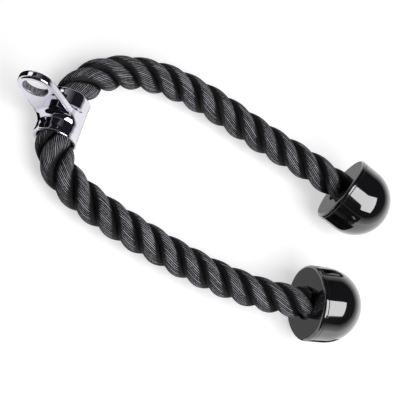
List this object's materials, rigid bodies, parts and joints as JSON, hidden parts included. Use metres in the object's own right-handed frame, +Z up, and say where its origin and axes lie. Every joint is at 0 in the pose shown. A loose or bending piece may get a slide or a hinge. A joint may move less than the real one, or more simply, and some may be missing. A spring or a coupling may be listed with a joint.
{
  "type": "triceps rope attachment",
  "caption": "Pull-down rope for a cable machine: thick twisted rope through a chromed collar with an eye for a carabiner, its legs ending in round stop caps.",
  "frame": {"origin": "centre of the bottom of the box round the fitting and caps, on the floor that the object lies on", "axes": "+X from the fitting towards the caps at the ends of the legs, +Y along the rope where it passes through the collar, +Z up from the floor"},
  "size_m": [0.4026, 0.1992, 0.0749],
  "materials": {
    "chrome": "polished casting",
    "rope": "twisted synthetic yarn",
    "cap_plastic": "high gloss",
    "plain_steel": "plain"
  },
  "bodies": {
    "fitting": {"fitting": "chrome"},
    "rope": {"rope_core": "rope", "rope_left_bend": "rope", "rope_right_bend": "rope"},
    "left_leg": {"rope_left_leg": "rope", "left_rope_end": "rope", "left_cap_lid": "cap_plastic", "left_cap_shell": "cap_plastic", "left_cap_washer": "plain_steel", "left_rope_sleeve": "plain_steel"},
    "right_leg": {"rope_right_leg": "rope", "right_rope_end": "rope", "right_cap_lid": "cap_plastic", "right_cap_shell": "cap_plastic", "right_cap_washer": "plain_steel", "right_rope_sleeve": "plain_steel"}
  },
  "joints": [
    {"name": "rope_turn", "type": "hinge", "parent": "fitting", "child": "rope", "pos_m": [-0.14545, -0.0114, 0.01935], "axis": [0, 1, 0], "continuous": true},
    {"name": "left_leg_swing", "type": "hinge", "parent": "rope", "child": "left_leg", "pos_m": [-0.13671, 0.03314, 0.01935], "axis": [0, 0, 1], "range_deg": [-4, 60], "deforming": ["rope_left_bend"]},
    {"name": "right_leg_swing", "type": "hinge", "parent": "rope", "child": "right_leg", "pos_m": [-0.13771, -0.04778, 0.01935], "axis": [0, 0, -1], "range_deg": [-4, 70], "deforming": ["rope_right_bend"]}
  ]
}
